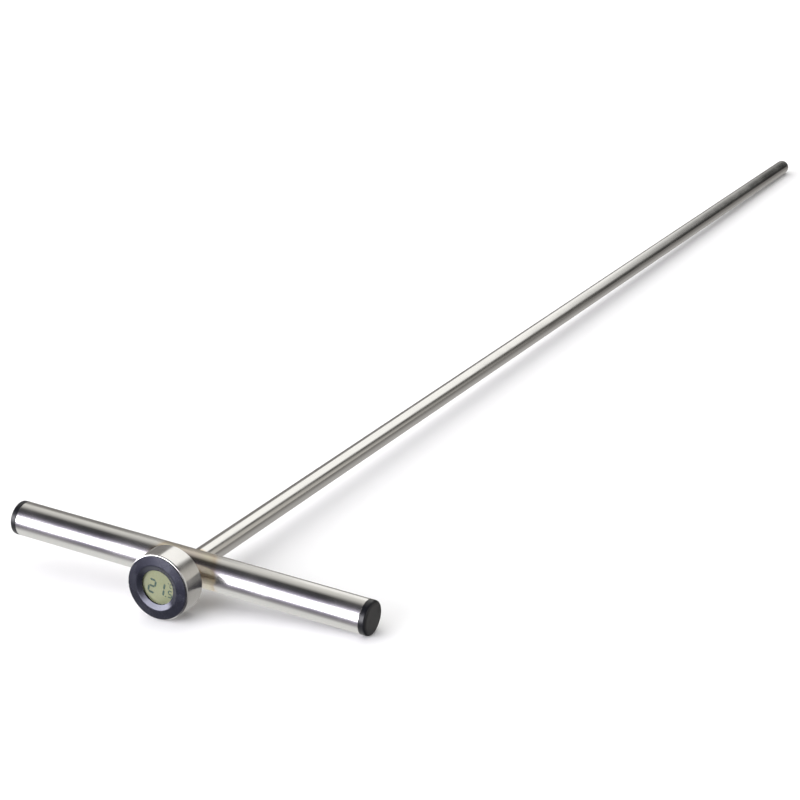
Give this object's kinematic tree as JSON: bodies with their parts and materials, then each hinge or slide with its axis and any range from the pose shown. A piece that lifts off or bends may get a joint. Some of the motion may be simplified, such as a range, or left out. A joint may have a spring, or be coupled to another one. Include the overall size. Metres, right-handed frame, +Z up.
{
  "type": "probe thermometer",
  "caption": "T-handle digital probe thermometer: tube handle with black end caps, long round-tipped stainless probe, and a small round display in a drum housing.",
  "frame": {"origin": "under the middle of the whole length, at the height of the display housing's lowest line", "axes": "+X along the handle to the right as the display is read, +Y along the probe to its tip, +Z up"},
  "size_m": [0.232, 1.0588, 0.0384],
  "materials": {
    "polished_steel": "ground and polished stainless, fine lines round the tube, warm grey",
    "turned_steel": "turned stainless, fine lines round the drum",
    "weld_steel": "cleaned weld with a straw and brown heat tint",
    "cap_plastic": "satin black moulded polyethylene",
    "bezel_plastic": "satin black moulded plastic with a faint blue sheen",
    "case_plastic": "fine-textured black moulded plastic",
    "clear_lens": "clear polished plastic",
    "lcd_glass": "grey-green reflective liquid crystal display",
    "reflector_film": "satin silver film",
    "black_rubber": "soft black rubber",
    "board_laminate": "green solder mask with tinned pads",
    "black_epoxy": "glossy black cast resin",
    "cell_steel": "bright nickel-plated steel",
    "screw_steel": "zinc-plated steel",
    "contact_bronze": "rolled spring bronze",
    "cable_jacket": "dark grey PVC jacket",
    "sleeve_plastic": "black heat-shrink sleeve"
  },
  "bodies": {
    "frame": {"handle_tube": "polished_steel", "left_end_cap": "cap_plastic", "right_end_cap": "cap_plastic", "probe_tube": "polished_steel", "probe_tip": "polished_steel", "front_weld": "weld_steel", "rear_weld": "weld_steel", "housing_weld": "weld_steel", "display_housing": "turned_steel", "module_lead": "cable_jacket", "splice_sleeve": "sleeve_plastic", "sensor_cable": "cable_jacket", "thermistor_bead": "black_epoxy", "tip_potting": "black_epoxy"},
    "seal": {"seal_ring": "black_rubber"},
    "display": {"bezel_ring": "bezel_plastic", "display_lens": "clear_lens", "lcd_panel": "lcd_glass", "lcd_reflector": "reflector_film", "zebra_strip": "black_rubber", "circuit_board": "board_laminate", "chip_blob": "black_epoxy", "button_cell": "cell_steel", "front_contact": "contact_bronze", "rim_contact": "contact_bronze", "module_case": "case_plastic", "case_screw_1": "screw_steel", "case_screw_2": "screw_steel", "case_screw_3": "screw_steel", "cable_grommet": "black_rubber"},
    "door": {"battery_door": "case_plastic"}
  },
  "joints": [
    {"name": "display_pull", "type": "slide", "parent": "frame", "child": "seal", "axis": [0, -1, 0], "range_m": [0, 0.03], "deforming": ["module_lead"]},
    {"name": "display_turn", "type": "hinge", "parent": "seal", "child": "display", "pos_m": [0, -0.52938, 0.0192], "axis": [0, 1, 0], "range_deg": [-180, 180]},
    {"name": "door_twist", "type": "hinge", "parent": "display", "child": "door", "pos_m": [-0.0012, -0.51828, 0.01068], "axis": [0, -1, 0], "range_deg": [0, 40]}
  ]
}
